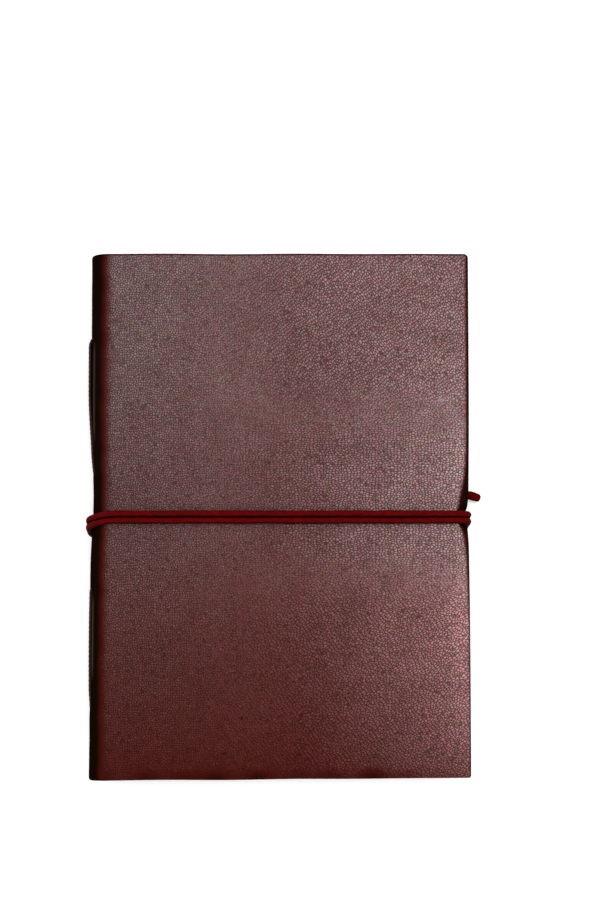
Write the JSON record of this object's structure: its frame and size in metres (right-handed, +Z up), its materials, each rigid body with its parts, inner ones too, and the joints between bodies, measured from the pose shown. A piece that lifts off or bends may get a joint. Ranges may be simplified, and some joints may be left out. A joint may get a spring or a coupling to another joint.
{
  "type": "leather notebook cover",
  "caption": "Hand-sewn leather journal with hinged soft covers over a block of folded sheets, long-stitched through the spine and held shut by a wound leather cord.",
  "frame": {"origin": "under the middle of the bounding box, at the level of its lowest point, with the journal lying on its back cover", "axes": "+X to the fore-edge, +Y to the head, +Z up out of the front cover"},
  "size_m": [0.137, 0.1806, 0.0223],
  "materials": {
    "hide": "pebbled, waxed, burnished dark at the edges",
    "suede": "suede",
    "card": "matt",
    "paper": "rough, deckled",
    "thread": "waxed",
    "cord": "soft round cord"
  },
  "bodies": {
    "spine": {"spine_leather": "hide", "spine_lining": "suede", "signature_1_sheet_1": "paper", "signature_1_sheet_2": "paper", "signature_1_sheet_3": "paper", "signature_1_sheet_4": "paper", "signature_2_sheet_1": "paper", "signature_2_sheet_2": "paper", "signature_2_sheet_3": "paper", "signature_2_sheet_4": "paper", "signature_3_sheet_1": "paper", "signature_3_sheet_2": "paper", "signature_3_sheet_3": "paper", "signature_3_sheet_4": "paper", "signature_4_sheet_1": "paper", "signature_4_sheet_2": "paper", "signature_4_sheet_3": "paper", "signature_4_sheet_4": "paper", "signature_5_sheet_1": "paper", "signature_5_sheet_2": "paper", "signature_5_sheet_3": "paper", "signature_5_sheet_4": "paper", "signature_6_sheet_1": "paper", "signature_6_sheet_2": "paper", "signature_6_sheet_3": "paper", "signature_6_sheet_4": "paper", "sewing_thread_1": "thread", "sewing_thread_2": "thread", "sewing_thread_3": "thread", "sewing_thread_4": "thread", "sewing_thread_5": "thread", "sewing_thread_6": "thread", "cord_spine_upper": "cord", "cord_spine_lower": "cord"},
    "front_cover": {"front_cover_leather": "hide", "front_cover_board": "card", "front_cover_lining": "suede", "front_hinge_leather": "hide", "cord_front_upper": "cord", "cord_front_lower": "cord", "cord_edge_upper": "cord", "cord_edge_lower": "cord"},
    "back_cover": {"back_cover_leather": "hide", "back_cover_board": "card", "back_cover_lining": "suede", "back_hinge_leather": "hide", "cord_back_upper": "cord", "cord_back_lower": "cord", "cord_tail": "cord"},
    "front_leaf_1": {"front_leaf_1": "paper"},
    "front_leaf_2": {"front_leaf_2": "paper"},
    "front_leaf_3": {"front_leaf_3": "paper"},
    "front_leaf_4": {"front_leaf_4": "paper"},
    "back_leaf_1": {"back_leaf_1": "paper"},
    "back_leaf_2": {"back_leaf_2": "paper"},
    "back_leaf_3": {"back_leaf_3": "paper"},
    "back_leaf_4": {"back_leaf_4": "paper"}
  },
  "joints": [
    {"name": "front_cover_hinge", "type": "hinge", "parent": "spine", "child": "front_cover", "pos_m": [-0.0641, 0, 0.01793], "axis": [0, -1, 0], "range_deg": [0, 178], "deforming": ["front_hinge_leather", "cord_spine_upper", "cord_spine_lower"]},
    {"name": "back_cover_hinge", "type": "hinge", "parent": "spine", "child": "back_cover", "pos_m": [-0.0641, 0, 0.00473], "axis": [0, 1, 0], "range_deg": [0, 178], "deforming": ["back_hinge_leather"]},
    {"name": "front_leaf_1_turn", "type": "hinge", "parent": "spine", "child": "front_leaf_1", "pos_m": [-0.06125, 0, 0.01758], "axis": [0, -1, 0], "range_deg": [0, 170]},
    {"name": "front_leaf_2_turn", "type": "hinge", "parent": "spine", "child": "front_leaf_2", "pos_m": [-0.06125, 0, 0.01758], "axis": [0, -1, 0], "range_deg": [0, 170]},
    {"name": "front_leaf_3_turn", "type": "hinge", "parent": "spine", "child": "front_leaf_3", "pos_m": [-0.06125, 0, 0.01758], "axis": [0, -1, 0], "range_deg": [0, 170]},
    {"name": "front_leaf_4_turn", "type": "hinge", "parent": "spine", "child": "front_leaf_4", "pos_m": [-0.06125, 0, 0.01758], "axis": [0, -1, 0], "range_deg": [0, 170]},
    {"name": "back_leaf_1_turn", "type": "hinge", "parent": "spine", "child": "back_leaf_1", "pos_m": [-0.06125, 0, 0.00508], "axis": [0, 1, 0], "range_deg": [0, 170]},
    {"name": "back_leaf_2_turn", "type": "hinge", "parent": "spine", "child": "back_leaf_2", "pos_m": [-0.06125, 0, 0.00508], "axis": [0, 1, 0], "range_deg": [0, 170]},
    {"name": "back_leaf_3_turn", "type": "hinge", "parent": "spine", "child": "back_leaf_3", "pos_m": [-0.06125, 0, 0.00508], "axis": [0, 1, 0], "range_deg": [0, 170]},
    {"name": "back_leaf_4_turn", "type": "hinge", "parent": "spine", "child": "back_leaf_4", "pos_m": [-0.06125, 0, 0.00508], "axis": [0, 1, 0], "range_deg": [0, 170]}
  ],
  "couplings": [
    {"joint": "front_leaf_1_turn", "follows": "front_cover_hinge", "ratio": 0.93},
    {"joint": "front_leaf_2_turn", "follows": "front_cover_hinge", "ratio": 0.91},
    {"joint": "front_leaf_3_turn", "follows": "front_cover_hinge", "ratio": 0.89},
    {"joint": "front_leaf_4_turn", "follows": "front_cover_hinge", "ratio": 0.87},
    {"joint": "back_leaf_1_turn", "follows": "back_cover_hinge", "ratio": 0.93},
    {"joint": "back_leaf_2_turn", "follows": "back_cover_hinge", "ratio": 0.91},
    {"joint": "back_leaf_3_turn", "follows": "back_cover_hinge", "ratio": 0.89},
    {"joint": "back_leaf_4_turn", "follows": "back_cover_hinge", "ratio": 0.87}
  ]
}
